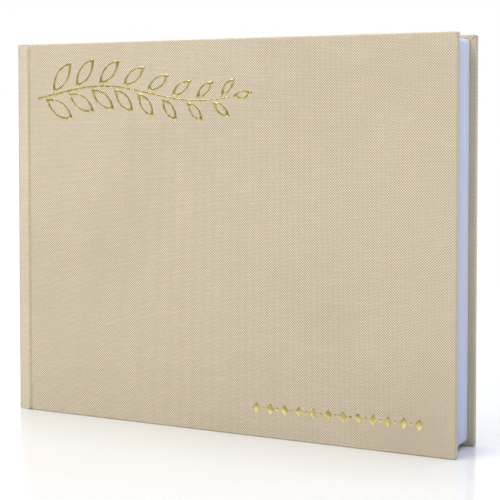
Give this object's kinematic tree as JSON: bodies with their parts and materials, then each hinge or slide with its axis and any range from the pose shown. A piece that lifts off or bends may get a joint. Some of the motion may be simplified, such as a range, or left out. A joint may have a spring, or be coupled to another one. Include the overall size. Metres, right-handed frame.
{
  "type": "wedding guest book",
  "caption": "Landscape cloth-covered hardcover guest book with sewn pages, creased hinges, turning leaves and gold foil ornament on its front cover.",
  "frame": {"origin": "centre of the book's footprint, on the surface that its tail edge stands on", "axes": "+X from the spine to the fore-edge, -Y out of the front cover, +Z from tail to head"},
  "size_m": [0.254, 0.0328, 0.2032],
  "materials": {
    "cloth": "woven linen",
    "board": "matte greyboard",
    "endpaper": "smooth",
    "pages": "smooth uncoated",
    "gauze": "open weave",
    "lining": "kraft",
    "thread": "waxed",
    "band": "woven",
    "foil": "gold foil"
  },
  "bodies": {
    "block": {"back_crease_cloth": "cloth", "back_endpaper_fold": "endpaper", "back_hinge_strip": "board", "front_crease_cloth": "cloth", "front_endpaper_fold": "endpaper", "front_hinge_strip": "board", "headband": "band", "sewing_thread": "thread", "signature_01": "pages", "signature_02": "pages", "signature_03": "pages", "signature_04": "pages", "signature_05": "pages", "signature_06": "pages", "signature_07": "pages", "signature_08": "pages", "signature_09": "pages", "signature_10": "pages", "spine_board": "board", "spine_cloth": "cloth", "spine_lining": "lining", "spine_mull": "gauze", "tailband": "band"},
    "front_cover": {"front_cover_board": "board", "front_cover_cloth": "cloth", "front_pastedown": "endpaper", "cover_sprig_foil": "foil", "cover_marks_foil": "foil"},
    "front_flyleaf": {"front_flyleaf": "endpaper"},
    "front_leaf_1": {"front_leaf_1": "pages"},
    "front_leaf_2": {"front_leaf_2": "pages"},
    "front_leaf_3": {"front_leaf_3": "pages"},
    "back_cover": {"back_cover_board": "board", "back_cover_cloth": "cloth", "back_pastedown": "endpaper"},
    "back_flyleaf": {"back_flyleaf": "endpaper"},
    "back_leaf_1": {"back_leaf_1": "pages"},
    "back_leaf_2": {"back_leaf_2": "pages"},
    "back_leaf_3": {"back_leaf_3": "pages"}
  },
  "joints": [
    {"name": "front_cover_hinge", "type": "hinge", "parent": "block", "child": "front_cover", "pos_m": [-0.1193, -0.01657, 0.1016], "axis": [0, 0, -1], "range_deg": [0, 180], "deforming": ["front_crease_cloth"]},
    {"name": "front_flyleaf_turn", "type": "hinge", "parent": "block", "child": "front_flyleaf", "pos_m": [-0.1193, -0.01657, 0.1016], "axis": [0, 0, -1], "range_deg": [0, 171]},
    {"name": "front_leaf_1_turn", "type": "hinge", "parent": "block", "child": "front_leaf_1", "pos_m": [-0.1193, -0.01657, 0.1016], "axis": [0, 0, -1], "range_deg": [0, 144]},
    {"name": "front_leaf_2_turn", "type": "hinge", "parent": "block", "child": "front_leaf_2", "pos_m": [-0.1193, -0.01657, 0.1016], "axis": [0, 0, -1], "range_deg": [0, 111.6]},
    {"name": "front_leaf_3_turn", "type": "hinge", "parent": "block", "child": "front_leaf_3", "pos_m": [-0.1193, -0.01657, 0.1016], "axis": [0, 0, -1], "range_deg": [0, 72]},
    {"name": "back_cover_hinge", "type": "hinge", "parent": "block", "child": "back_cover", "pos_m": [-0.1193, 0.01657, 0.1016], "axis": [0, 0, 1], "range_deg": [0, 180], "deforming": ["back_crease_cloth"]},
    {"name": "back_flyleaf_turn", "type": "hinge", "parent": "block", "child": "back_flyleaf", "pos_m": [-0.1193, 0.01657, 0.1016], "axis": [0, 0, 1], "range_deg": [0, 171]},
    {"name": "back_leaf_1_turn", "type": "hinge", "parent": "block", "child": "back_leaf_1", "pos_m": [-0.1193, 0.01657, 0.1016], "axis": [0, 0, 1], "range_deg": [0, 144]},
    {"name": "back_leaf_2_turn", "type": "hinge", "parent": "block", "child": "back_leaf_2", "pos_m": [-0.1193, 0.01657, 0.1016], "axis": [0, 0, 1], "range_deg": [0, 111.6]},
    {"name": "back_leaf_3_turn", "type": "hinge", "parent": "block", "child": "back_leaf_3", "pos_m": [-0.1193, 0.01657, 0.1016], "axis": [0, 0, 1], "range_deg": [0, 72]}
  ],
  "couplings": [
    {"joint": "front_flyleaf_turn", "follows": "front_cover_hinge", "ratio": 0.95},
    {"joint": "front_leaf_1_turn", "follows": "front_cover_hinge", "ratio": 0.8},
    {"joint": "front_leaf_2_turn", "follows": "front_cover_hinge", "ratio": 0.62},
    {"joint": "front_leaf_3_turn", "follows": "front_cover_hinge", "ratio": 0.4},
    {"joint": "back_flyleaf_turn", "follows": "back_cover_hinge", "ratio": 0.95},
    {"joint": "back_leaf_1_turn", "follows": "back_cover_hinge", "ratio": 0.8},
    {"joint": "back_leaf_2_turn", "follows": "back_cover_hinge", "ratio": 0.62},
    {"joint": "back_leaf_3_turn", "follows": "back_cover_hinge", "ratio": 0.4}
  ]
}
